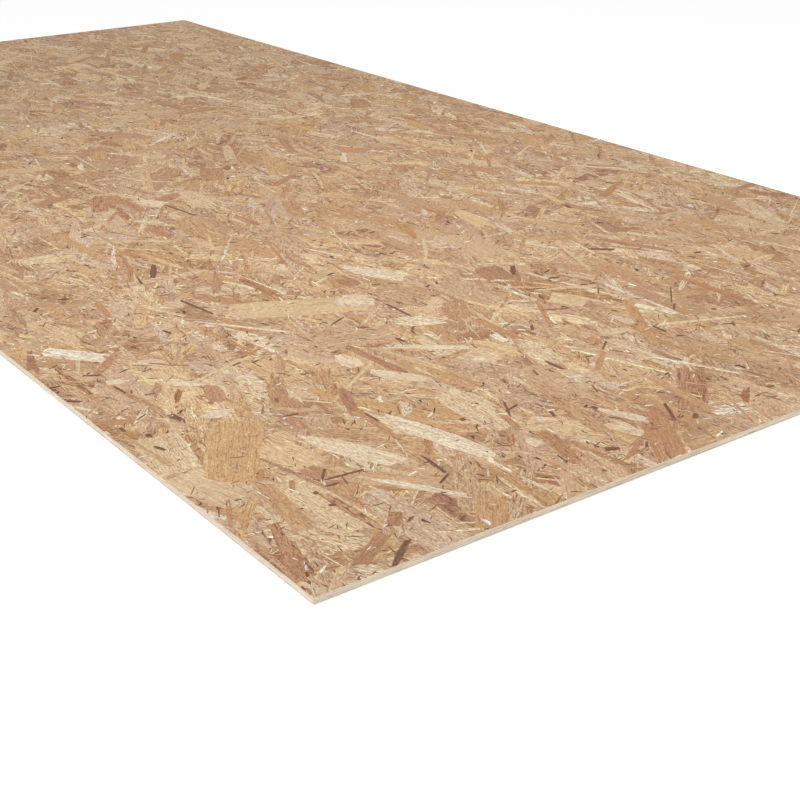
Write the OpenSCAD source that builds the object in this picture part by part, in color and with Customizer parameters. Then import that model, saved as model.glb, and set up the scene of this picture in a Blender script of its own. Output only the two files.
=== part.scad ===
// Oriented strand board panel, one square-edged sheet lying flat.
// The length runs along Y, which is also the way the face strands lie,
// the width runs along X and the thickness along Z.
// The origin is under the middle of the sheet, on its lower face.

/* [Sheet] */
// Length of the sheet, along the face strands
sheet_length = 2438.4; // [600:0.1:3660]
// Width of the sheet, across the face strands
sheet_width = 1219.2; // [300:0.1:1830]
// Thickness of the sheet from face to face
sheet_thickness = 6.35; // [6:0.05:30]

/* [Sawn edges] */
// Width of the small flat where a sawn edge crumbles at the upper face
upper_arris = 0.4; // [0.1:0.05:1.5]
// Width of the small flat where a sawn edge crumbles at the lower face
lower_arris = 0.4; // [0.1:0.05:1.5]

/* [Hidden] */

// Section through the sheet, span wide, with the arris taken off all four corners
module sheet_section(span) {
    half = span / 2;
    polygon([
        [-half + lower_arris, 0],
        [half - lower_arris, 0],
        [half, lower_arris],
        [half, sheet_thickness - upper_arris],
        [half - upper_arris, sheet_thickness],
        [-half + upper_arris, sheet_thickness],
        [-half, sheet_thickness - upper_arris],
        [-half, lower_arris]
    ]);
}

// Section across the width, carried along the length of the sheet
module sheet_cut_to_width() {
    rotate([90, 0, 0])
        linear_extrude(sheet_length, center = true)
            sheet_section(sheet_width);
}

// Section along the length, carried across the width of the sheet
module sheet_cut_to_length() {
    rotate([90, 0, 90])
        linear_extrude(sheet_width, center = true)
            sheet_section(sheet_length);
}

// One pressed sheet: the two saw cuts meet in four square corners
module osb_panel() {
    color("#C8A786")
        intersection() {
            sheet_cut_to_width();
            sheet_cut_to_length();
        }
}

osb_panel();
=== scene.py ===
# %% [markdown]
# # One sheet of oriented strand board
# The sheet is wood shavings, called strands, pressed flat with resin and sawn square on four sides.
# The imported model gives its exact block. This lesson dresses that block with real strands:
# thousands of thin flakes that lie over each other on both faces, and their cut ends on the sawn edges.

# %% Load the frame
import math

import bmesh
import bpy
import numpy as np
from mathutils import Matrix, Vector


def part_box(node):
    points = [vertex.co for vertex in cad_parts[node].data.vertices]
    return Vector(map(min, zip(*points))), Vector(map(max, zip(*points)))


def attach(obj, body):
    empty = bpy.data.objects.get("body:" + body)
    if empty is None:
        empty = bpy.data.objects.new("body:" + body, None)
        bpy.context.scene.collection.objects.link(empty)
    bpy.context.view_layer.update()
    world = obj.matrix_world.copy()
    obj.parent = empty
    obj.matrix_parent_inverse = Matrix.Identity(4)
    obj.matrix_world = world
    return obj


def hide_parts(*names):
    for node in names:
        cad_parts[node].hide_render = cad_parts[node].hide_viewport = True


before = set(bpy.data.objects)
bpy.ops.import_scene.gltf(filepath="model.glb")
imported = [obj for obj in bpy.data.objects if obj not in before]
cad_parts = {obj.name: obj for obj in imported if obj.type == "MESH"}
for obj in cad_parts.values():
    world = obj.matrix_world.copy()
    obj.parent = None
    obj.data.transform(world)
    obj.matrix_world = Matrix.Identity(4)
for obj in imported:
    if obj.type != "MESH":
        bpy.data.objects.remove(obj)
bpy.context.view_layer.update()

# %% [markdown]
# Every size comes from the block. The arris is the small flat that a saw leaves where an edge crumbles,
# and it is read off the block too: it is how far the upper face ends short of the side.

# %% Sizes of the sheet
MM = 0.001
HAIR = 0.001 * MM
low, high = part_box("osb_panel")
width, length, thickness = high - low
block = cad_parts["osb_panel"].data
upper_reach = max(v.co.x for v in block.vertices if v.co.z > high.z - HAIR)
arris = high.x - upper_reach
print(f"{width:.4f} m wide, {length:.4f} m long, {thickness / MM:.2f} mm thick, arris {arris / MM:.2f} mm")

# %% [markdown]
# ## Camera
# The picture is taken from above one corner. Its two edge lines and the strands' vanishing line give the
# lens and the angles. The corner's pixel and the height above the sheet then place the camera.

# %% Camera at the picture's viewing angle
picture_side = 800
corner_pixel = Vector((313.4, 598.5))
focal_pixels = 1416.6
look_down = math.radians(24.65)
heading = math.radians(36.6)
eye_height = 0.62
sensor_width = 36.0

ahead = Vector((math.sin(heading) * math.cos(look_down), math.cos(heading) * math.cos(look_down),
                -math.sin(look_down)))
right = Vector((math.cos(heading), -math.sin(heading), 0.0))
up = right.cross(ahead)
offset = corner_pixel - Vector((picture_side / 2, picture_side / 2))
ray = ahead * focal_pixels + right * offset.x - up * offset.y
near_corner = Vector((low.x, low.y, high.z))
camera_data = bpy.data.cameras.new("camera")
camera_data.sensor_width = sensor_width
camera_data.lens = sensor_width * focal_pixels / picture_side
camera = bpy.data.objects.new("camera", camera_data)
turn = Matrix((right, up, -ahead)).transposed().to_4x4()
camera.matrix_world = Matrix.Translation(near_corner + ray * (eye_height / ray.z)) @ turn
bpy.context.scene.collection.objects.link(camera)
bpy.context.scene.camera = camera
print(f"lens {camera_data.lens:.2f} mm, camera at", [round(v, 3) for v in camera.location])


# %% [markdown]
# ## Two helpers for every material
# Colours are written as they look on a screen, in sRGB, but shaders count in linear light.
# Nodes are added by one small function: a socket given as an input is linked, any other value is set.
# An input goes by its number where a node has several inputs of one name.

# %% Colour and node helpers
def to_linear(hex_colour):
    """Linear red, green, blue and alpha of an sRGB colour such as #C8A684."""
    channels = [int(hex_colour[i:i + 2], 16) / 255 for i in (1, 3, 5)]
    return [c / 12.92 if c <= 0.04045 else ((c + 0.055) / 1.055) ** 2.4 for c in channels] + [1.0]


def add_node(tree, kind, settings=None, inputs=None):
    """Adds a node, sets its properties, and links or sets its inputs by name or number."""
    node = tree.nodes.new(kind)
    for name, value in (settings or {}).items():
        setattr(node, name, value)
    for name, value in (inputs or {}).items():
        if isinstance(value, bpy.types.NodeSocket):
            tree.links.new(value, node.inputs[name])
        else:
            node.inputs[name].default_value = value
    return node


def new_material(name):
    """An empty material, its tree and its output node."""
    material = bpy.data.materials.new(name)
    material.use_nodes = True
    material.node_tree.nodes.clear()
    return material, material.node_tree, add_node(material.node_tree, "ShaderNodeOutputMaterial")


print("a mid tan in linear light:", [round(c, 3) for c in to_linear("#C8A684")])


# %% [markdown]
# ## Stage
# A white paper floor catches the shadow. Paper darkens away from a lamp, so to the camera and in reflections
# it glows a little, which keeps the background white and puts no more light on the sheet.

# %% Floor
def seen_directly(tree):
    """1 for a ray from the camera, a reflection or clear glass, and 0 for light between surfaces."""
    path = add_node(tree, "ShaderNodeLightPath")
    seen = path.outputs["Is Camera Ray"]
    for ray_kind in ("Is Glossy Ray", "Is Transmission Ray"):
        seen = add_node(tree, "ShaderNodeMath", {"operation": "MAXIMUM"},
                        {0: seen, 1: path.outputs[ray_kind]}).outputs[0]
    return seen


floor_drop = 0.1 * MM
floor_side = 60.0
paper_glow = 0.3
bm = bmesh.new()
bmesh.ops.create_grid(bm, x_segments=1, y_segments=1, size=floor_side / 2)
bmesh.ops.translate(bm, vec=(0, 0, low.z - floor_drop), verts=bm.verts)
floor_mesh = bpy.data.meshes.new("floor")
bm.to_mesh(floor_mesh)
bm.free()
floor = bpy.data.objects.new("floor", floor_mesh)
bpy.context.scene.collection.objects.link(floor)
# Matt paper, so an even white with no sheen
floor_white, tree, output = new_material("studio_paper_matt")
paper = add_node(tree, "ShaderNodeBsdfDiffuse", None, {"Color": to_linear("#F8F8F8")})
glow = add_node(tree, "ShaderNodeMath", {"operation": "MULTIPLY"}, {0: seen_directly(tree), 1: paper_glow})
glow = add_node(tree, "ShaderNodeEmission", None, {"Strength": glow.outputs[0]})
paper = add_node(tree, "ShaderNodeAddShader", None, {0: paper.outputs["BSDF"], 1: glow.outputs["Emission"]})
tree.links.new(paper.outputs["Shader"], output.inputs["Surface"])
floor_mesh.materials.append(floor_white)
print("floor", floor_side, "m wide")

# %% [markdown]
# The light is plain: a soft sky, a broad low sun from the left that draws a fine shadow along every strand,
# and a soft box over the middle of the view, so that the sheet falls off a little towards its far edges.
# Together they light a level face under the soft box at about 1, so a colour renders about as it is written.

# %% Light
sky_level = 0.43
sun = {"compass": 240.0, "height": 36.0, "level": 0.27, "softness": 7.0}
soft_box = {"across": 0.36, "along": 0.52, "height": 1.4, "side": 0.8, "level": 0.40}

bearing, height = math.radians(sun["compass"]), math.radians(sun["height"])
lamp = bpy.data.lights.new("key_light", "SUN")
lamp.energy = math.pi * sun["level"] / math.sin(height)
lamp.angle = math.radians(sun["softness"])
level_part = math.cos(height)
towards = Vector((math.sin(bearing) * level_part, math.cos(bearing) * level_part, math.sin(height)))
sun_object = bpy.data.objects.new("key_light", lamp)
sun_object.rotation_euler = towards.to_track_quat("Z", "Y").to_euler()
bpy.context.scene.collection.objects.link(sun_object)

lamp = bpy.data.lights.new("soft_box", "AREA")
lamp.size = soft_box["side"]
lamp.energy = soft_box["level"] * (math.pi * soft_box["height"]) ** 2
box_object = bpy.data.objects.new("soft_box", lamp)
box_object.location = near_corner + Vector([soft_box[key] for key in ("across", "along", "height")])
box_object.visible_camera = False
bpy.context.scene.collection.objects.link(box_object)

world = bpy.data.worlds.new("studio")
bpy.context.scene.world = world
world.use_nodes = True
tree = world.node_tree
tree.nodes.clear()
level = add_node(tree, "ShaderNodeMapRange", None,
                 {"Value": seen_directly(tree), "To Min": sky_level, "To Max": 1.0})
sky = add_node(tree, "ShaderNodeBackground", None,
               {"Color": (1, 1, 1, 1), "Strength": level.outputs["Result"]})
add_node(tree, "ShaderNodeOutputWorld", None, {"Surface": sky.outputs["Background"]})
bpy.context.scene.view_settings.view_transform = "Standard"
print("light on a level face:", round(sky_level + sun["level"] + soft_box["level"], 2))


# %% [markdown]
# ## A strand
# A strand is a shaving about 0.6 mm thick: straight along the grain, broken or cut at its ends. One blank is
# modelled at its real size: a flat grid cell gets extra points along its ends and sides, the points are
# moved to make ragged ends, a taper and a slight bow, and the face is extruded up to a slightly smaller top.
# Many copies of a few dozen blanks look like a pile of different strands, so no outline is drawn by hand.
# The raggedness and slant of an end stay within a share of the length, or a short outline would cross itself.

# %% Strand blank
END_SHARES = {"ragged": 0.18, "slant": 0.12}
print("shares of a strand's length that its ends may take:", END_SHARES)


def strand_blank(rng, kind):
    """Corners and triangles of one strand along Y with its top at z = 0, in metres."""
    long, wide = (rng.uniform(*kind[size]) * MM for size in ("length", "width"))
    wobble, rim, depth = (kind[key] * MM for key in ("wobble", "rim", "depth"))
    ragged, steepest = (min(kind[key] * MM, share * long) for key, share in END_SHARES.items())
    slant = steepest * rng.uniform(-1, 1, 2)
    taper, bow = kind["taper"] * rng.random(2), kind["bow"] * MM * rng.normal()
    bm = bmesh.new()
    bmesh.ops.create_grid(bm, x_segments=1, y_segments=1, size=0.5)
    ends = [e for e in bm.edges if e.verts[0].co.y == e.verts[1].co.y]
    sides = [e for e in bm.edges if e.verts[0].co.x == e.verts[1].co.x]
    if kind["end_points"]:
        bmesh.ops.bisect_edges(bm, edges=ends, cuts=kind["end_points"])
    if kind["side_points"]:
        bmesh.ops.bisect_edges(bm, edges=sides, cuts=kind["side_points"])
    for v in bm.verts:
        x, y = v.co.x, v.co.y
        end = int(y > 0)
        v.co.x = x * wide * (1 - taper[end] * (2 * y) ** 2) + bow * (1 - 4 * y * y)
        v.co.y = y * long
        if abs(y) == 0.5:
            v.co.y += 2 * x * slant[end] - math.copysign(ragged * rng.random() ** 2, y)
        else:
            v.co.x += wobble * rng.normal()
    outline = bm.verts[:]
    grown = bmesh.ops.extrude_face_region(bm, geom=bm.faces[:])["geom"]
    raised = [g for g in grown if isinstance(g, bmesh.types.BMVert)]
    bmesh.ops.scale(bm, vec=(1 - 2 * rim / wide, 1 - 2 * rim / long, 1), verts=raised)
    bmesh.ops.translate(bm, vec=(0, 0, -depth), verts=outline)
    bmesh.ops.recalc_face_normals(bm, faces=bm.faces)
    bmesh.ops.triangulate(bm, faces=bm.faces[:])
    bm.verts.index_update()
    corners = [v.co[:] for v in bm.verts]
    triangles = [[v.index for v in f.verts] for f in bm.faces]
    bm.free()
    return corners, triangles


def strand_blanks(rng, kind):
    """A stock of different blanks of one kind, as two arrays."""
    made = [strand_blank(rng, kind) for _ in range(kind["blanks"])]
    return np.array([c for c, _ in made]), np.array([t for _, t in made])


# %% [markdown]
# ## Laying strands
# The copies are placed by arithmetic on whole arrays, because thousands of single objects would be slow.
# A side of the sheet is a small frame: a centre, a direction across, one along and one out. Places follow an
# even, never repeating sequence, so no bald patch is left by chance, and strands of a group huddle together.
# Each strand lies a little higher than the one before it, which the sequence puts far away, and each piece
# has a shelf of its own between the steps, because two faces in one plane would shade each other black.
# Strands that lean one way throw more light back than those that lean the other way, so a strand's tone
# follows its direction a little, as a painted sheen. Darker wood is redder too, so a tone changes the three
# colour channels by different powers, and each strand is a little more golden or more pink than the next.

# %% Places of strands on a side
SPREAD_STEP = np.array([0.7548776662, 0.5698402910])
LEAN_PAINTED_SHEEN = 0.065
STRETCH = (0.8, 1.25)
WARMTH = np.array([0.64, 1.0, 1.15])
GOLDEN_HUE = np.array([0.25, 0.0, -1.0])
HUE_SPREAD = 0.13
LEVEL_STEP = 0.001 * MM
SHELVES = 16


def side_of_sheet(out, across, share):
    """A side of the sheet, with the part of the bake map that it uses."""
    out, across = Vector(out), Vector(across)
    along = out.cross(across)
    size = Vector((width, length, thickness))
    centre = (low + high) / 2 + out * abs(size.dot(out)) / 2
    spans = [sum(abs(a * b) for a, b in zip(axis, size)) for axis in (across, along)]
    return {"centre": np.array(centre), "axes": np.array([across, along, out]),
            "spans": np.array(spans), "share": np.array(share)}


def varied(tint, tone, hue):
    """Tints made lighter or darker by a tone, and more golden or more pink by a hue."""
    return tint * np.exp(tone[:, None] * WARMTH + hue[:, None] * GOLDEN_HUE)


def shelved(depths, shelf):
    """Levels at depths in millimetres, rounded to fine steps, each shelf with its own small offset."""
    return -LEVEL_STEP * (np.round(depths * MM / LEVEL_STEP) + shelf / SHELVES)


def scatter(rng, side, kind, count, shelf):
    """Places of count strands of a kind on a side, the deepest first."""
    margin = np.array(kind["overhang"]) * MM
    groups = -(-count // kind["group"])
    group = np.arange(count) % groups
    spot = (group[:, None] * SPREAD_STEP + rng.random(2)) % 1 - 0.5
    spot = spot * (side["spans"] + 2 * margin) + rng.normal(0, kind["huddle"] * MM, (count, 2))
    turn = np.radians(rng.normal(0, kind["scatter"], groups))
    stray = rng.random(groups) < kind["stray"]
    turn[stray] = rng.uniform(0, np.pi, stray.sum())
    turn = turn[group] + np.radians(rng.normal(0, kind["fan"], count))
    tints = np.array([to_linear(c)[:3] for c in kind["tints"]])
    weights = np.array(list(kind["tints"].values()), float)
    tint = tints[rng.choice(len(tints), count, p=weights / weights.sum())]
    # Painted sheen: strands that lean one way are drawn a little lighter than those that lean the other way
    tone = rng.normal(0, kind["tint_spread"], count) + LEAN_PAINTED_SHEEN * np.sin(2 * turn)
    return {
        "spot": spot,
        "turn": turn,
        "level": shelved(np.linspace(*kind["levels"], count), shelf),
        "stretch": rng.uniform(*STRETCH, (count, 2)),
        "tint": varied(tint, tone, rng.uniform(-HUE_SPREAD, HUE_SPREAD, count)),
    }


print(f"levels in steps of {LEVEL_STEP / MM:.3f} mm, with {SHELVES} shelves to a step")


# %% [markdown]
# Each strand also carries what its finish needs: its own colour, its place across and along the grain,
# three random numbers for its wear, and how near its lower rim a point is.

# %% Lay strands at their places
def lay_strands(rng, side, kind, places):
    """Arrays of strands that lie at the given places on a side."""
    corners, triangles = strand_blanks(rng, kind)
    count, points = len(places["turn"]), corners.shape[1]
    pick = rng.integers(len(corners), size=count)
    turn = (places["turn"] + np.pi * rng.integers(0, 2, count))[:, None]
    local = corners[pick]
    local[..., :2] *= places["stretch"][:, None]
    x, y, z = np.moveaxis(local, 2, 0)
    placed = np.stack([
        x * np.cos(turn) - y * np.sin(turn) + places["spot"][:, :1],
        x * np.sin(turn) + y * np.cos(turn) + places["spot"][:, 1:],
        z + places["level"][:, None],
    ], -1)
    start, size = np.split(side["share"], 2)
    seed = np.repeat(rng.random((count, 1)), points, 1)
    return {
        "corner": (side["centre"] + placed @ side["axes"]).reshape(-1, 3),
        "tint": np.repeat(places["tint"], points, 0),
        "wear": np.repeat(kind["worn"] * rng.random((count, 3)), points, 0),
        "grain": np.stack([x, y, seed], -1).reshape(-1, 3),
        "rim": np.clip(-z / (kind["depth"] * MM), 0, 1).reshape(-1, 1),
        "bake": (start + size * (placed[..., :2] / side["spans"] + 0.5)).reshape(-1, 2),
        "strand": np.repeat(np.arange(count)[:, None], points, 0),
        "triangle": (triangles[pick] + points * np.arange(count)[:, None, None]).reshape(-1, 3),
        "sawn": np.zeros(count * triangles.shape[1], int),
    }


def joined(*parts):
    """Several arrays of strands as one, in the order given."""
    parts = [dict(p) for p in parts]
    for before, after in zip(parts, parts[1:]):
        after["triangle"] = after["triangle"] + before["triangle"].max() + 1
        after["strand"] = after["strand"] + before["strand"].max() + 1
    return {key: np.concatenate([p[key] for p in parts]) for key in parts[0]}


# %% [markdown]
# ## Sawing to size
# The strands are arrays, which are quick to lay. To be sawn they become a mesh for a while, and then arrays
# again, so there is a function for each way. Both carry every value that a point of a strand has.

# %% Arrays to a mesh and back
POINT_LAYERS = {"tint": 3, "wear": 3, "grain": 3, "rim": 1, "bake": 2, "strand": 1}


def mesh_from_arrays(name, arrays):
    """A mesh with the strands' corners, triangles and point attributes."""
    mesh = bpy.data.meshes.new(name)
    count = len(arrays["triangle"])
    mesh.vertices.add(len(arrays["corner"]))
    mesh.vertices.foreach_set("co", arrays["corner"].astype(np.float32).ravel())
    mesh.loops.add(3 * count)
    mesh.loops.foreach_set("vertex_index", arrays["triangle"].astype(np.int32).ravel())
    mesh.polygons.add(count)
    mesh.polygons.foreach_set("loop_start", np.arange(0, 3 * count, 3, dtype=np.int32))
    mesh.polygons.foreach_set("use_smooth", np.zeros(count, bool))
    mesh.polygons.foreach_set("material_index", arrays["sawn"].astype(np.int32))
    for key, size in POINT_LAYERS.items():
        values = np.zeros((len(arrays["corner"]), 3), np.float32)
        values[:, :size] = arrays[key]
        mesh.attributes.new(key, "FLOAT_VECTOR", "POINT").data.foreach_set("vector", values.ravel())
    mesh.update(calc_edges=True)
    return mesh


def arrays_from_mesh(mesh):
    """The same arrays, read back from a triangulated mesh."""
    def read(data, key, size, kind):
        values = np.empty(len(data) * size, kind)
        data.foreach_get(key, values)
        return values.reshape(-1, size)

    arrays = {key: read(mesh.attributes[key].data, "vector", 3, np.float32)[:, :size]
              for key, size in POINT_LAYERS.items()}
    arrays["corner"] = read(mesh.vertices, "co", 3, np.float32)
    arrays["triangle"] = read(mesh.loops, "vertex_index", 1, np.int32).reshape(-1, 3)
    arrays["sawn"] = read(mesh.polygons, "material_index", 1, np.int32).ravel()
    return arrays


print("values of a point:", ", ".join(POINT_LAYERS))


# %% [markdown]
# The mat is pressed oversize and then sawn, so strands end in a clean cut at the sheet's sides. The strands
# that reach past a side are cut there with bisect_plane, and the cuts are closed with faces that take the
# finish of fresh sawn wood. Each cut is then drawn back by a different hair's breadth, as a saw leaves it,
# because faces of two strands in one plane would flicker. The other strands need no work.

# %% Saw the strands to the sheet
SAW_FUZZ = 0.06 * MM
GOLDEN_STEP = 0.6180339887


def saw_planes():
    """A point on each face, saw cut and arris of the sheet, and its outward direction."""
    planes = [(low, Vector((0, 0, -1))), (high, Vector((0, 0, 1)))]
    for axis in (Vector((1, 0, 0)), Vector((0, 1, 0))):
        for out in (-axis, axis):
            edge = out * max(low.dot(out), high.dot(out))
            planes.append((edge, out))
            planes.append((edge + Vector((0, 0, high.z - arris)), (out + Vector((0, 0, 1))).normalized()))
            planes.append((edge + Vector((0, 0, low.z + arris)), (out - Vector((0, 0, 1))).normalized()))
    return planes


def strands_picked(arrays, wanted):
    """The arrays of the wanted strands alone; wanted holds one truth value for each strand."""
    strand = np.round(arrays["strand"]).astype(int).ravel()
    keep = wanted[strand]
    keep_triangle = keep[arrays["triangle"][:, 0]]
    part = {key: arrays[key][keep] for key in ["corner", *POINT_LAYERS]}
    part["triangle"] = (np.cumsum(keep) - 1)[arrays["triangle"][keep_triangle]]
    part["sawn"] = arrays["sawn"][keep_triangle]
    return part


def sawn(arrays):
    """The strands cut off at the sheet's sides."""
    planes = saw_planes()
    beyond = np.max([(arrays["corner"] - np.array(point)) @ np.array(out) for point, out in planes], 0)
    strand = arrays["strand"].ravel()
    crossing = np.zeros(strand.max() + 1, bool)
    crossing[strand[beyond > HAIR]] = True
    mesh = mesh_from_arrays("cut", strands_picked(arrays, crossing))
    bm = bmesh.new()
    bm.from_mesh(mesh)
    for point, out in planes:
        geometry = bm.verts[:] + bm.edges[:] + bm.faces[:]
        cut = bmesh.ops.bisect_plane(bm, geom=geometry, dist=HAIR / 10, plane_co=point, plane_no=out,
                                     clear_outer=True)["geom_cut"]
        edges = [g for g in cut if isinstance(g, bmesh.types.BMEdge)]
        for face in bmesh.ops.holes_fill(bm, edges=edges, sides=0)["faces"]:
            face.material_index = 1
    bmesh.ops.recalc_face_normals(bm, faces=bm.faces)
    bmesh.ops.triangulate(bm, faces=bm.faces[:])
    bm.to_mesh(mesh)
    bm.free()
    cut = arrays_from_mesh(mesh)
    bpy.data.meshes.remove(mesh)
    drawn_back = SAW_FUZZ * (cut["strand"] * GOLDEN_STEP % 1)
    for point, out in planes:
        on_plane = np.abs((cut["corner"] - np.array(point)) @ np.array(out)) < HAIR
        cut["corner"][on_plane] -= drawn_back[on_plane] * np.array(out)
    whole = strands_picked(arrays, ~crossing)
    cut["triangle"] = cut["triangle"] + len(whole["corner"])
    both = {key: np.concatenate([whole[key], cut[key]]) for key in whole}
    order = np.argsort(both["strand"][both["triangle"][:, 0], 0], kind="stable")
    for key in ("triangle", "sawn"):
        both[key] = both[key][order]
    return both


def strand_piece(name, arrays, *materials):
    """A finished piece of joined strands, sawn to the sheet, that rides on the sheet's body."""
    arrays = sawn(arrays)
    mesh = mesh_from_arrays(name, arrays)
    uv = mesh.uv_layers.new(name="OFBake")
    uv.data.foreach_set("uv", arrays["bake"][arrays["triangle"].ravel()].astype(np.float32).ravel())
    for key in ("bake", "strand"):
        mesh.attributes.remove(mesh.attributes[key])
    for material in materials:
        mesh.materials.append(material)
    piece = bpy.data.objects.new(name, mesh)
    bpy.context.scene.collection.objects.link(piece)
    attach(piece, "root")
    print(f"{name}: {len(mesh.polygons)} triangles")
    return piece


print(len(saw_planes()), "planes bound the sheet")


# %% [markdown]
# ## Finish of the strands
# Aspen and poplar strands, hot pressed: pale straw to reddish brown, with fibre streaks along each strand,
# broader growth bands, pale tears where the knife lifted the fibres, dark cracks and specks, and a fine grit
# of cut fibres. Each pattern is noise drawn out along the strand's own grain, so that it turns with the
# strand. A pattern multiplies the colour by a shade, and which share of its noise counts is its window. The
# finest fibres are drawn about twice as coarse as they are, because finer ones would be lost between the
# picture's pixels.

# %% Grain patterns
# Sizes across and along the grain in millimetres; shift moves the pattern from strand to strand
NOISE_ROUGHNESS = 0.62
PRESSED_GRAIN = {
    "fibre": {"across": 1.9, "along": 45, "shift": 57, "detail": 5,
              "window": (0.30, 0.70), "shade": (0.73, 1.28)},
    "band": {"across": 10, "along": 160, "shift": 91, "detail": 1,
             "window": (0.30, 0.70), "shade": (0.89, 1.11)},
    "tear": {"across": 3.5, "along": 28, "shift": 33, "detail": 4,
             "window": (0.62, 0.72), "shade": (1.0, 1.38), "wear": ("X", 0.14)},
    # The crack pattern darkens fine cracks with painted shade
    "crack": {"across": 1.8, "along": 20, "shift": 73, "detail": 2,
              "window": (0.63, 0.67), "shade": (1.0, 0.38), "wear": ("Y", 0.10)},
    "speck": {"across": 1.8, "along": 7, "shift": 41, "detail": 1,
              "window": (0.65, 0.69), "shade": (1.0, 0.45)},
    "grit": {"across": 1.4, "along": 4.5, "shift": 29, "detail": 2,
             "window": (0.32, 0.68), "shade": (0.52, 1.50)},
}


def shaded(tree, colour, source, window, shade):
    """A colour multiplied by a shade that follows a source, and made redder where it is darker."""
    ends = [np.full(3, v) for v in window] + [v ** WARMTH for v in shade]
    factor = add_node(tree, "ShaderNodeMapRange", {"data_type": "FLOAT_VECTOR"},
                      {6: source, 7: ends[0], 8: ends[1], 9: ends[2], 10: ends[3]})
    return add_node(tree, "ShaderNodeVectorMath", {"operation": "MULTIPLY"},
                    {0: colour, 1: factor.outputs["Vector"]}).outputs[0]


def grained(tree, colour, patterns):
    """A colour shaded by grain patterns, and the noise of each pattern."""
    grain, wear = (add_node(tree, "ShaderNodeAttribute", {"attribute_name": key})
                   for key in ("grain", "wear"))
    wear = add_node(tree, "ShaderNodeSeparateXYZ", None, {0: wear.outputs["Vector"]})
    noises = {}
    for name, pattern in patterns.items():
        scale = (1 / (pattern["across"] * MM), 1 / (pattern["along"] * MM), pattern["shift"])
        place = add_node(tree, "ShaderNodeVectorMath", {"operation": "MULTIPLY"},
                         {0: grain.outputs["Vector"], 1: scale})
        noise = add_node(tree, "ShaderNodeTexNoise", None, {
            "Vector": place.outputs[0], "Scale": 1.0, "Detail": pattern["detail"],
            "Roughness": NOISE_ROUGHNESS}).outputs[0]
        if "wear" in pattern:
            axis, amount = pattern["wear"]
            noise = add_node(tree, "ShaderNodeMath", {"operation": "MULTIPLY_ADD"},
                             {0: wear.outputs[axis], 1: amount, 2: noise}).outputs[0]
        colour = shaded(tree, colour, noise, pattern["window"], pattern["shade"])
        noises[name] = noise
    return colour, noises


print("grain patterns:", ", ".join(PRESSED_GRAIN))

# %% [markdown]
# A sharp knife leaves a smooth strand and a blunt one a torn strand, so one of a strand's three wear numbers
# says how much its patterns show. Two speckles cross all strands alike: a broad mottle from the press and
# fine dust. The rim of a strand is darker, because less light gets into the gap beside it, and fibres, cracks
# and grit raise the face a little. Wax and resin give the smoother fibres a faint sheen.

# %% Pressed strand material
# Pressed between hot platens, so matt with a faint sheen, every strand streaked along its grain
SPECKLES = {"mottle": (150 * MM, (0.90, 1.10)), "dust": (6.0 * MM, (0.88, 1.12))}
speckle_detail, speckle_roughness = 2.0, 0.6
speckle_window = (0.32, 0.68)
clean_cut, torn = 0.5, 1.0
rim_painted_shade = (1.0, 0.50)
fibre_relief, relief_strength = 0.4 * MM, 0.7
dull, shiny = 0.76, 0.62
WOOD_IOR, WOOD_SHEEN = 1.5, 0.3
pressed_strands, tree, output = new_material("poplar_strands_hot_pressed")
tint, rim, wear = (add_node(tree, "ShaderNodeAttribute", {"attribute_name": key})
                   for key in ("tint", "rim", "wear"))
place = add_node(tree, "ShaderNodeTexCoord").outputs["Object"]
colour, noises = grained(tree, tint.outputs["Vector"], PRESSED_GRAIN)
for size, shade in SPECKLES.values():
    speckle = add_node(tree, "ShaderNodeTexNoise", None, {
        "Vector": place, "Scale": 1 / size, "Detail": speckle_detail, "Roughness": speckle_roughness})
    colour = shaded(tree, colour, speckle.outputs["Fac"], speckle_window, shade)
wear = add_node(tree, "ShaderNodeSeparateXYZ", None, {0: wear.outputs["Vector"]})
torn_share = add_node(tree, "ShaderNodeMapRange", None,
                      {"Value": wear.outputs["Z"], "To Min": clean_cut, "To Max": torn})
colour = add_node(tree, "ShaderNodeMix", {"data_type": "RGBA"}, {
    "Factor": torn_share.outputs["Result"], 6: tint.outputs["Vector"], 7: colour}).outputs[2]
# Painted shade: the lower rim of each strand is drawn darker, as the gap beside it gets less light
colour = shaded(tree, colour, rim.outputs["Fac"], (0.0, 1.0), rim_painted_shade)
height = add_node(tree, "ShaderNodeMath", {"operation": "SUBTRACT"}, {0: noises["fibre"], 1: noises["crack"]})
height = add_node(tree, "ShaderNodeMath", {"operation": "ADD"}, {0: height.outputs[0], 1: noises["grit"]})
bump = add_node(tree, "ShaderNodeBump", None,
                {"Height": height.outputs[0], "Strength": relief_strength, "Distance": fibre_relief})
least, most = PRESSED_GRAIN["fibre"]["window"]
gloss = add_node(tree, "ShaderNodeMapRange", None, {
    "Value": noises["fibre"], "From Min": least, "From Max": most, "To Min": dull, "To Max": shiny})
wood = add_node(tree, "ShaderNodeBsdfPrincipled", None, {
    "Base Color": colour, "Normal": bump.outputs["Normal"], "Roughness": gloss.outputs["Result"],
    "IOR": WOOD_IOR, "Specular IOR Level": WOOD_SHEEN})
tree.links.new(wood.outputs["BSDF"], output.inputs["Surface"])
print(pressed_strands.name, len(tree.nodes), "nodes")

# %% [markdown]
# The saw opens fresh wood, which no heat has tanned: nearly white, with a dry, fuzzy face. The strand's own
# colour still shows through, so the finish is a mix of that colour and a fresh one, with fewer patterns.

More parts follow.
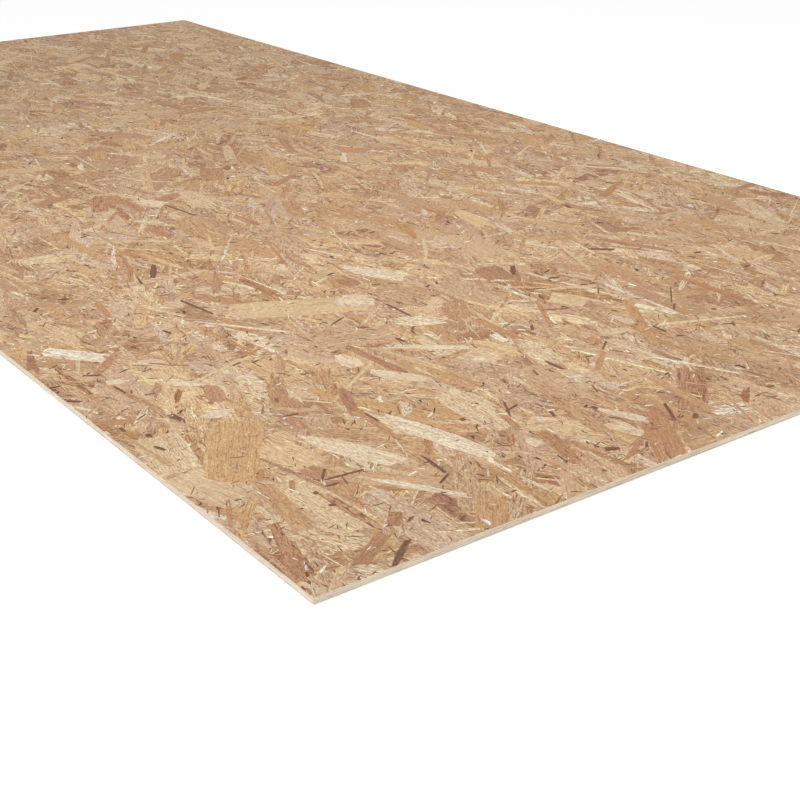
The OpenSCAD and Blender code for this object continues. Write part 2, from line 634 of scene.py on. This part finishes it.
# %% Sawn strand material
# Sawn across and along the grain, so pale and dry with hardly any sheen
SAWN_GRAIN = {
    "fibre": {**PRESSED_GRAIN["fibre"], "shade": (0.84, 1.06)},
    # The crack pattern darkens fine cracks with painted shade
    "crack": {**PRESSED_GRAIN["crack"], "window": (0.62, 0.72), "shade": (1.0, 0.72)},
}
fresh_share, fresh_colour = 0.7, "#F2E8D6"
sawn_rim_painted_shade = (1.0, 0.80)
fuzz_relief, fuzz_strength = 0.2 * MM, 0.5
sawn_roughness = 0.85
sawn_strands, tree, output = new_material("poplar_strands_sawn")
tint, rim = (add_node(tree, "ShaderNodeAttribute", {"attribute_name": key}) for key in ("tint", "rim"))
colour = add_node(tree, "ShaderNodeMix", {"data_type": "RGBA"}, {
    "Factor": fresh_share, 6: tint.outputs["Vector"], 7: to_linear(fresh_colour)}).outputs[2]
colour, noises = grained(tree, colour, SAWN_GRAIN)
# Painted shade: the lower rim of each sawn strand is drawn darker, as the gap beside it gets less light
colour = shaded(tree, colour, rim.outputs["Fac"], (0.0, 1.0), sawn_rim_painted_shade)
bump = add_node(tree, "ShaderNodeBump", None,
                {"Height": noises["fibre"], "Strength": fuzz_strength, "Distance": fuzz_relief})
wood = add_node(tree, "ShaderNodeBsdfPrincipled", None, {
    "Base Color": colour, "Normal": bump.outputs["Normal"], "Roughness": sawn_roughness,
    "IOR": WOOD_IOR, "Specular IOR Level": WOOD_SHEEN})
tree.links.new(wood.outputs["BSDF"], output.inputs["Surface"])
print(sawn_strands.name, len(tree.nodes), "nodes")

# %% [markdown]
# ## Wide flakes
# The body of a face. Knives shave them off logs, so their long sides follow the grain and their ends break
# square or slanted. They could be drawn as a pattern on one flat sheet, but then a close view or a low light
# would show no edges. So each is a thin solid, and they lie over each other as fallen leaves do.

# %% Wide flakes of the upper face
wood_tints = {"#DCBF9B": 6, "#D3B08A": 16, "#CBA681": 24, "#C59E78": 26, "#BE946D": 17, "#B48863": 8,
              "#A87956": 3}
wide_flakes = {"blanks": 40, "length": (60, 140), "width": (14, 46), "end_points": 3, "side_points": 2,
               "ragged": 14, "wobble": 0.8, "slant": 8, "taper": 0.45, "bow": 1.5, "rim": 0.4, "depth": 0.6,
               "scatter": 30, "stray": 0.18, "group": 1, "huddle": 0, "fan": 0, "overhang": (55, 65),
               "levels": (0.60, 0.22), "tints": wood_tints, "tint_spread": 0.06, "worn": 1.0}
whole_map = (0, 0, 1, 1)
upper = side_of_sheet((0, 0, 1), (1, 0, 0), whole_map)


def scattered_piece(name, side, kind, count, seed):
    """A piece of count strands scattered over a side."""
    rng = np.random.default_rng(seed)
    places = scatter(rng, side, kind, count, shelf=seed)
    return strand_piece(name, lay_strands(rng, side, kind, places), pressed_strands, sawn_strands)


scattered_piece("upper_wide_flakes", upper, wide_flakes, count=3400, seed=1)

# %% [markdown]
# ## Split strands
# Flakes split along the grain as they dry and tumble, and the narrow splits lie among and over the broad
# ones. They are the same blank with other sizes: narrower, more ragged and more tapered.

# %% Split strands of the upper face
split_strands = {**wide_flakes, "length": (30, 100), "width": (3.5, 14), "end_points": 2, "side_points": 1,
                 "wobble": 0.4, "slant": 6, "taper": 0.7, "bow": 1.8, "rim": 0.3, "scatter": 33,
                 "overhang": (45, 50), "levels": (0.50, 0.17), "tint_spread": 0.08}
scattered_piece("upper_split_strands", upper, split_strands, count=4600, seed=2)

# %% [markdown]
# ## Slivers
# Thin shavings that break away from the flakes' sides. One flake that breaks leaves several, so they lie in
# bunches that point nearly the same way. Each is a blank with pointed ends and only a few faces.

# %% Slivers of the upper face
sliver_tints = {"#DEC8A4": 10, "#D3B78F": 24, "#C8A57D": 32, "#B58C66": 22, "#9A7052": 12}
slivers = {"blanks": 30, "length": (8, 45), "width": (1.0, 3.6), "end_points": 0, "side_points": 1,
           "ragged": 5, "wobble": 0.2, "slant": 4, "taper": 0.9, "bow": 0.5, "rim": 0.2, "depth": 0.5,
           "scatter": 30, "stray": 0.15, "group": 5, "huddle": 8, "fan": 9, "overhang": (20, 25),
           "levels": (0.34, 0.12), "tints": sliver_tints, "tint_spread": 0.08, "worn": 1.0}
scattered_piece("upper_slivers", upper, slivers, count=4000, seed=3)

# %% [markdown]
# ## Streaks
# Strips as long as a flake but much narrower, where a flake split all the way along. They lie in threes, pale
# beside brown, and draw long lines over the face. They are slivers with other sizes.

# %% Streaks of the upper face
streak_tints = {"#E0C9A4": 24, "#D5B68D": 34, "#C0946C": 32, "#B68A66": 10}
streaks = {**slivers, "length": (40, 120), "width": (2.5, 8.0), "ragged": 8, "slant": 5, "bow": 0.8,
           "rim": 0.3, "group": 3, "huddle": 14, "fan": 8, "overhang": (50, 55), "levels": (0.40, 0.13),
           "tints": streak_tints, "tint_spread": 0.06}
scattered_piece("upper_streaks", upper, streaks, count=1700, seed=12)

# %% [markdown]
# ## Bark and painted shadow lines
# A little bark and knot wood goes through the knives too. It shows as short dark red-brown splinters, which
# lie in any direction because they are too short for the rollers that line up the long strands. The same
# dark splinters also stand in as painted shadow: thin dark lines where a strand's edge lifts off the one
# below.

# %% Bark splinters and painted shadow lines of the upper face
bark_and_painted_shadow_tints = {"#96694C": 32, "#80593F": 32, "#6B4A36": 24, "#553729": 12}
bark_and_painted_shadow_splinters = {**slivers, "length": (3, 17), "width": (0.9, 2.1), "ragged": 3, "slant": 1, "bow": 0.8,
                  "scatter": 40, "stray": 0.35, "group": 3, "huddle": 9, "fan": 40, "levels": (0.24, 0.0),
                  "tints": bark_and_painted_shadow_tints, "tint_spread": 0.1}
scattered_piece("upper_bark_and_painted_shadow_splinters", upper, bark_and_painted_shadow_splinters, count=2600, seed=4)

# %% [markdown]
# ## Chips and crumbs
# Chips and dust from the knives fill the hollows between the strands, in small drifts of cream and brown.
# The darkest of them also stand in as painted shade in the gaps between strands, and the palest as painted
# highlights on lifted edges. They are the plainest blank, twelve triangles each, because there are so many
# of them.

# %% Chips and crumbs of the upper face
# Dark tints partly painted shade in gaps, pale tints partly painted highlights on lifted edges
crumb_painted_light_and_shade_tints = {"#EADCC4": 24, "#D6BA92": 22, "#B0865F": 22, "#845C42": 20, "#5A3D2F": 12}
crumbs = {**slivers, "blanks": 24, "length": (2, 8), "width": (1.0, 3.0), "side_points": 0, "ragged": 1,
          "wobble": 0, "slant": 2, "bow": 0, "depth": 0.45, "scatter": 40, "stray": 0.3, "group": 9,
          "huddle": 13, "fan": 35, "overhang": (5, 5), "levels": (0.26, 0.0), "tints": crumb_painted_light_and_shade_tints,
          "tint_spread": 0.1}
chips = {**crumbs, "length": (5, 18), "width": (2.0, 6.5), "ragged": 3, "slant": 3, "group": 4, "huddle": 15,
         "levels": (0.34, 0.12)}
scattered_piece("upper_chips", upper, chips, count=6500, seed=11)
scattered_piece("upper_crumbs", upper, crumbs, count=13500, seed=5)

# %% [markdown]
# ## Flakes that stand out
# Some flakes near the corner catch the eye: broad tan ones, honey brown and red-brown ones, cream ones with
# pointed ends, and dark splinters. Chance wouldn't put them in the right places, so they are listed
# group by group, the last group on top. They are smoother than most.
# Each row gives a flake's distances along the short and the long edge from the near corner, its turn from
# the long edge in degrees, counter-clockwise, and its length and width. Sizes are in millimetres.

# %% Flakes listed one by one
noted_flakes = {
    "pale": {"tint": "#D7B790", "taper": 0.2, "rows": [
        (28, 215, 15, 85, 50), (122, 236, 10, 92, 42), (95, 130, 5, 120, 40), (28, 300, -10, 90, 50),
        (335, 200, 0, 110, 45), (379, 112, 36, 86, 38), (660, 414, 64, 80, 10), (630, 382, 30, 50, 36),
        (490, 275, -15, 70, 34), (604, 270, 70, 44, 20), (584, 228, 5, 60, 20), (492, 218, 0, 36, 14)]},
    "dun": {"tint": "#C7A27D", "taper": 0.15, "rows": [
        (340, 435, 85, 112, 42), (552, 481, 5, 118, 50), (225, 80, -35, 120, 25), (447, 212, 0, 90, 44),
        (630, 730, 10, 130, 60), (670, 615, -10, 110, 50)]},
    "tan": {"tint": "#C1966D", "taper": 0.2, "rows": [
        (405, 925, -8, 77, 50), (615, 855, 3, 96, 50), (735, 810, -5, 82, 36), (635, 760, 8, 85, 35),
        (785, 750, 0, 90, 38), (1105, 540, 3, 102, 42), (495, 435, -30, 56, 30), (205, 22, -41, 70, 30),
        (440, 605, -20, 46, 30), (62, 145, -8, 95, 21), (415, 150, -11, 145, 20), (565, 910, -20, 92, 25),
        (360, 280, 10, 82, 28), (385, 322, -78, 90, 10), (650, 278, -33, 150, 15), (762, 440, 0, 92, 15),
        (534, 105, -6, 108, 13), (690, 152, -20, 44, 26), (770, 312, 80, 60, 24), (945, 432, 70, 50, 26),
        (1010, 465, 30, 60, 20), (886, 332, 5, 40, 7), (577, 463, 3, 95, 6)]},
    "honey": {"tint": "#C89D6E", "taper": 0.1, "rows": [
        (86, 268, -33, 136, 56), (141, 350, -22, 50, 17), (24, 146, -43, 70, 12), (230, 322, 8, 55, 12),
        (434, 380, -10, 45, 6), (65, 605, 5, 30, 10), (232, 935, 2, 142, 15)]},
    "straw": {"tint": "#D0B087", "taper": 0.2, "rows": [
        (349, 557, 63, 175, 57), (360, 347, 15, 105, 10), (280, 340, -57, 128, 5)]},
    "red_brown": {"tint": "#B98963", "taper": 0.45, "rows": [
        (137, 397, -18, 46, 22), (231, 232, -4, 84, 10), (344, 83, -14, 83, 15), (447, 47, -34, 110, 32),
        (168, 289, 0, 42, 9), (344, 163, -12, 50, 8), (398, 37, -63, 50, 6), (17, 162, -27, 52, 5),
        (78, 208, -35, 25, 8), (90, 172, -30, 25, 6), (122, 183, 10, 26, 20), (17, 397, 58, 42, 12),
        (81, 539, -47, 66, 12), (151, 695, -10, 60, 10), (496, 359, 0, 82, 13), (803, 312, 0, 115, 14),
        (371, 1077, 0, 100, 28), (344, 1103, -25, 92, 30), (442, 1071, -70, 46, 25), (349, 930, 0, 51, 18),
        (272, 864, 15, 36, 14), (478, 898, 5, 56, 15), (911, 722, -20, 26, 16), (572, 360, -30, 90, 6),
        (574, 136, -50, 50, 6), (560, 264, 0, 24, 20), (528, 218, -51, 56, 8), (519, 480, 0, 60, 5),
        (481, 432, -15, 48, 6), (716, 283, -10, 55, 14), (670, 437, 80, 26, 6), (832, 480, 33, 62, 6),
        (833, 340, 3, 60, 4), (862, 332, 18, 58, 4), (22, 74, -19, 104, 13)]},
    "russet": {"tint": "#AC7E5B", "taper": 0.4, "rows": [
        (83, 35, -57, 60, 14), (130, 66, -40, 26, 14), (618, 512, -20, 52, 43), (327, 373, 4, 100, 11),
        (241, 300, -22, 62, 13), (448, 598, 0, 34, 24)]},
    "white": {"tint": "#E9D6BA", "taper": 0.3, "rows": [
        (62, 583, 38, 78, 26), (480, 336, 0, 26, 11), (689, 307, 20, 28, 13), (699, 282, 5, 30, 9)]},
    "cream": {"tint": "#DFC6A5", "taper": 0.9, "rows": [
        (175, 202, 25, 116, 32), (262, 178, 15, 150, 28), (322, 317, 35, 70, 20), (397, 364, 52, 98, 11),
        (182, 102, 33, 112, 9), (495, 610, 25, 104, 32), (417, 535, 40, 50, 45),
        (446, 102, 25, 60, 14), (300, 385, 0, 44, 26), (362, 977, 43, 46, 8), (407, 1063, 30, 56, 30),
        (127, 436, 50, 48, 14), (185, 412, 40, 28, 13), (175, 440, 0, 16, 8), (65, 487, 80, 20, 13),
        (112, 350, 70, 32, 20), (332, 108, 0, 20, 15), (271, 88, 3, 36, 5), (274, 40, 5, 40, 5),
        (150, 22, 50, 22, 4), (170, 12, 62, 22, 4)]},
    "bark": {"tint": "#7A523B", "taper": 0.6, "rows": [
        (99, 15, -52, 50, 7), (75, 368, 8, 20, 8), (33, 347, 0, 8, 6), (28, 315, 20, 16, 5),
        (383, 51, 60, 16, 8), (141, 162, 83, 47, 3.5), (126, 174, -40, 24, 3), (223, 129, -5, 41, 3.5),
        (213, 100, -60, 22, 3), (100, 148, 0, 6, 5), (100, 120, 60, 8, 5), (18, 375, -5, 12, 4),
        (47, 390, -60, 18, 2.5), (60, 465, 5, 26, 3.5), (5, 470, 45, 25, 5), (172, 303, 80, 18, 4),
        (307, 190, 0, 6, 6), (360, 182, -30, 40, 2.5), (365, 181, -75, 22, 3), (390, 145, -20, 13, 3.5),
        (435, 130, 0, 8, 6), (236, 250, 0, 26, 3.5), (384, 400, 10, 15, 5), (417, 420, -50, 15, 3),
        (54, 517, 60, 20, 5), (266, 783, -29, 56, 9), (247, 634, 8, 68, 5), (235, 762, -13, 30, 3),
        (359, 492, -66, 30, 3), (440, 478, 0, 54, 4), (648, 507, -39, 35, 7), (801, 498, 50, 36, 8),
        (425, 1001, 8, 76, 4), (900, 674, -15, 18, 6), (1081, 587, 20, 14, 6), (596, 366, 64, 36, 3),
        (628, 432, 65, 44, 2.5), (609, 408, -25, 18, 3), (670, 452, 80, 16, 5), (664, 478, 0, 20, 3),
        (491, 78, -31, 40, 4), (504, 54, -50, 13, 6), (718, 286, -48, 22, 3), (746, 318, -45, 56, 2),
        (562, 247, -53, 30, 3), (532, 338, -40, 20, 4), (684, 410, 60, 9, 5), (654, 216, 50, 9, 5),
        (650, 245, 0, 22, 4), (477, 238, 0, 30, 5), (895, 411, 80, 12, 6)]},
}
plain_length, plain_width = 100, 30
noted_kind = {**wide_flakes, "blanks": 24, "length": (plain_length, plain_length),
              "width": (plain_width, plain_width), "ragged": 7, "wobble": 0.5, "slant": 5, "bow": 1.0,
              "worn": 0.65}
noted_tone, noted_hue = 0.025, 0.03
noted_depths = (0.19, 0.02)
noted_seed = 9
rng = np.random.default_rng(noted_seed)
noted_counts = [len(group["rows"]) for group in noted_flakes.values()]
noted_levels = shelved(np.linspace(*noted_depths, sum(noted_counts)), shelf=noted_seed)
noted_levels = np.split(noted_levels, np.cumsum(noted_counts)[:-1])
noted_parts = []
for group, levels in zip(noted_flakes.values(), noted_levels):
    rows = np.array(group["rows"], float)
    count = len(rows)
    tint = np.tile(to_linear(group["tint"])[:3], (count, 1))
    places = {
        "spot": rows[:, :2] * MM - upper["spans"] / 2,
        "turn": np.radians(rows[:, 2]),
        "level": levels,
        "stretch": rows[:, [4, 3]] / (plain_width, plain_length),
        "tint": varied(tint, rng.normal(0, noted_tone, count), rng.normal(0, noted_hue, count)),
    }
    noted_parts.append(lay_strands(rng, upper, {**noted_kind, "taper": group["taper"]}, places))
strand_piece("upper_noted_flakes", joined(*noted_parts), pressed_strands, sawn_strands)

# %% [markdown]
# Farther off, where single flakes can't be told apart, the same sorts of flake lie where chance puts them.
# A flake is far off when its distances from the near corner along both edges add up to more than the reach.

# %% Flakes like them farther off
noted_reach = 1.35
accent_tints = {noted_flakes[name]["tint"]: 1 for name in ("pale", "dun", "tan", "honey", "red_brown")}
accent_kind = {**noted_kind, "length": (50, 120), "width": (8, 34), "taper": 0.5, "tints": accent_tints,
               "tint_spread": noted_tone, "levels": (0.16, 0.03)}
accent_count, accent_seed = 220, 10
rng = np.random.default_rng(accent_seed)
places = scatter(rng, upper, accent_kind, accent_count, shelf=accent_seed)
far_off = (places["spot"] + upper["spans"] / 2).sum(1) > noted_reach
places = {key: values[far_off] for key, values in places.items()}
accents = lay_strands(rng, upper, accent_kind, places)
strand_piece("upper_accent_flakes", accents, pressed_strands, sawn_strands)

# %% [markdown]
# ## Lower face
# The sheet lies on this face, which is pressed like the upper one. It is dressed in a plainer way, with the
# broad and the split strands alone and fewer faces to each, because it is seldom seen.

# %% Lower face strands
lower = side_of_sheet((0, 0, -1), (-1, 0, 0), whole_map)
lower_flakes = {**wide_flakes, "end_points": 2, "side_points": 1, "levels": (0.60, 0.10)}
lower_splits = {**split_strands, "levels": (0.46, 0.0)}
scattered_piece("lower_wide_flakes", lower, lower_flakes, count=2800, seed=6)
scattered_piece("lower_split_strands", lower, lower_splits, count=2000, seed=7)

# %% [markdown]
# ## Sawn edges
# A saw shows the layers: thin lines of cut strands, nearly white, with a brown one here and there and dark
# slits between them. Each side gets its own strands, laid on edge along it, and the same saw planes as the
# faces trim them to the sheet.

# %% Sawn edge strands
edge_tints = {"#F2E9D8": 30, "#EADFC8": 30, "#DECBAA": 20, "#C4A67C": 12, "#8E6B4C": 5}
edge_ends = {"blanks": 30, "length": (10, 80), "width": (0.5, 1.2), "end_points": 0, "side_points": 0,
             "ragged": 0.5, "wobble": 0, "slant": 0.2, "taper": 0.8, "bow": 0, "rim": 0.08, "depth": 0.35,
             "scatter": 0.25, "stray": 0, "group": 1, "huddle": 0, "fan": 0, "overhang": (0.3, 35),
             "levels": (0.30, 0.02), "tints": edge_tints, "tint_spread": 0.06, "worn": 1.0}
ends_per_metre = 800
edge_seed, edge_shelf = 8, 0
rng = np.random.default_rng(edge_seed)
edge_parts = []
outward = ((-1, 0, 0), (1, 0, 0), (0, -1, 0), (0, 1, 0))
for band, out in enumerate(outward):
    side = side_of_sheet(out, (0, 0, 1), (band / len(outward), 0, 1 / len(outward), 1))
    places = scatter(rng, side, edge_ends, int(ends_per_metre * side["spans"][1]), edge_shelf)
    edge_parts.append(lay_strands(rng, side, edge_ends, places))
strand_piece("sawn_edges", joined(*edge_parts), sawn_strands, sawn_strands)

# %% [markdown]
# ## Inner mat
# Under the outer strands lies the rest of the mat. It shows only as a brown glimpse through a gap, so a plain
# block with small bevels does, set in from the faces and the sides by less than a strand's depth.

# %% Inner mat
# Fines pressed in the hot core: darker, even and dull. The darker brown also stands in partly as painted
# shade of deeper strands seen through a gap
face_relief = 0.58 * MM
edge_relief = 0.32 * MM
mat_bevel = 0.06 * MM
fines_size, fines_detail = 6 * MM, 3.0
mat_roughness = 0.8
bm = bmesh.new()
bmesh.ops.create_cube(bm, size=1)
bmesh.ops.scale(bm, vec=(width - 2 * edge_relief, length - 2 * edge_relief, thickness - 2 * face_relief),
                verts=bm.verts)
bmesh.ops.translate(bm, vec=(low + high) / 2, verts=bm.verts)
bmesh.ops.bevel(bm, geom=bm.edges[:], offset=mat_bevel, affect="EDGES", segments=2, profile=0.5, material=-1)
mat_mesh = bpy.data.meshes.new("inner_mat")
bm.to_mesh(mat_mesh)
bm.free()
inner_mat = bpy.data.objects.new("inner_mat", mat_mesh)
bpy.context.scene.collection.objects.link(inner_mat)
mat_fines_and_painted_shade, tree, output = new_material("poplar_fines_hot_pressed_and_painted_shade")
place = add_node(tree, "ShaderNodeTexCoord").outputs["Object"]
noise = add_node(tree, "ShaderNodeTexNoise", None,
                 {"Vector": place, "Scale": 1 / fines_size, "Detail": fines_detail})
colour = add_node(tree, "ShaderNodeMix", {"data_type": "RGBA"}, {
    "Factor": noise.outputs["Fac"], 6: to_linear("#8A6546"), 7: to_linear("#CFAF88")})
wood = add_node(tree, "ShaderNodeBsdfPrincipled", None,
                {"Base Color": colour.outputs[2], "Roughness": mat_roughness, "IOR": WOOD_IOR,
                 "Specular IOR Level": WOOD_SHEEN})
tree.links.new(wood.outputs["BSDF"], output.inputs["Surface"])
mat_mesh.materials.append(mat_fines_and_painted_shade)
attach(inner_mat, "root")
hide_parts("osb_panel")
print("inner mat", len(mat_mesh.polygons), "faces")
